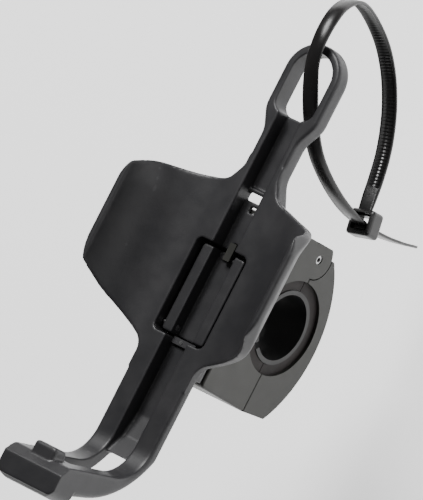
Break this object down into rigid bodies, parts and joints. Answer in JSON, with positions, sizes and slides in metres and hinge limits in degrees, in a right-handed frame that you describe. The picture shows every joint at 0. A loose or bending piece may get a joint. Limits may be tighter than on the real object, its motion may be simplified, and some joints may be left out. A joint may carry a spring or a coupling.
{
  "type": "phone handlebar mount",
  "caption": "Handlebar mount: hinged bar clamp with split sleeve, and a moulded cradle with two curved wings, a bottom hook, a sprung latch tongue and a top eye with a cable tie.",
  "frame": {"origin": "centre of the handlebar bore", "axes": "+X along the handlebar, +Y along the cradle from hook to eye, +Z out of the cradle's front face"},
  "size_m": [0.0744, 0.1848, 0.1233],
  "materials": {
    "cradle_plastic": "satin textured moulding",
    "clamp_plastic": "satin moulding",
    "liner_rubber": "matt",
    "sleeve_plastic": "satin",
    "tie_nylon": "semi-gloss",
    "steel": "plain",
    "black_steel": "black oxide"
  },
  "bodies": {
    "mount": {"cradle": "cradle_plastic", "latch_pivot_pins": "steel", "latch_springs": "steel", "channel_block": "cradle_plastic", "block_pin": "steel", "slide_rail": "clamp_plastic", "rail_screws": "steel", "upper_jaw": "clamp_plastic", "hinge_pin": "steel", "upper_liner": "liner_rubber", "inner_sleeve": "sleeve_plastic", "clamp_nut": "steel"},
    "lower_clamp": {"lower_jaw": "clamp_plastic", "lower_liner": "liner_rubber", "screw_washer": "steel"},
    "screw": {"clamp_screw": "black_steel"},
    "tongue": {"latch_tongue": "cradle_plastic"},
    "tie": {"cable_tie": "tie_nylon"}
  },
  "joints": [
    {"name": "jaw_open", "type": "hinge", "parent": "mount", "child": "lower_clamp", "pos_m": [0, 0.0243, 0], "axis": [1, 0, 0], "range_deg": [0, 50]},
    {"name": "screw_back_out", "type": "slide", "parent": "lower_clamp", "child": "screw", "axis": [0, 0, -1], "range_m": [0, 0.0073]},
    {"name": "latch_press", "type": "hinge", "parent": "mount", "child": "tongue", "pos_m": [0, -0.0154, 0.0282], "axis": [1, 0, 0], "range_deg": [-5, 0], "stiffness_Nm_per_rad": 0.35, "springref_deg": 5.73, "deforming": ["latch_springs"]},
    {"name": "tie_swing", "type": "hinge", "parent": "mount", "child": "tie", "pos_m": [-0.0026, 0.0835, 0.03], "axis": [0.9774, 0.2113, 0], "range_deg": [0, 30]}
  ],
  "couplings": [
    {"joint": "screw_back_out", "follows": "jaw_open", "m_per_rad": 0.00818}
  ]
}
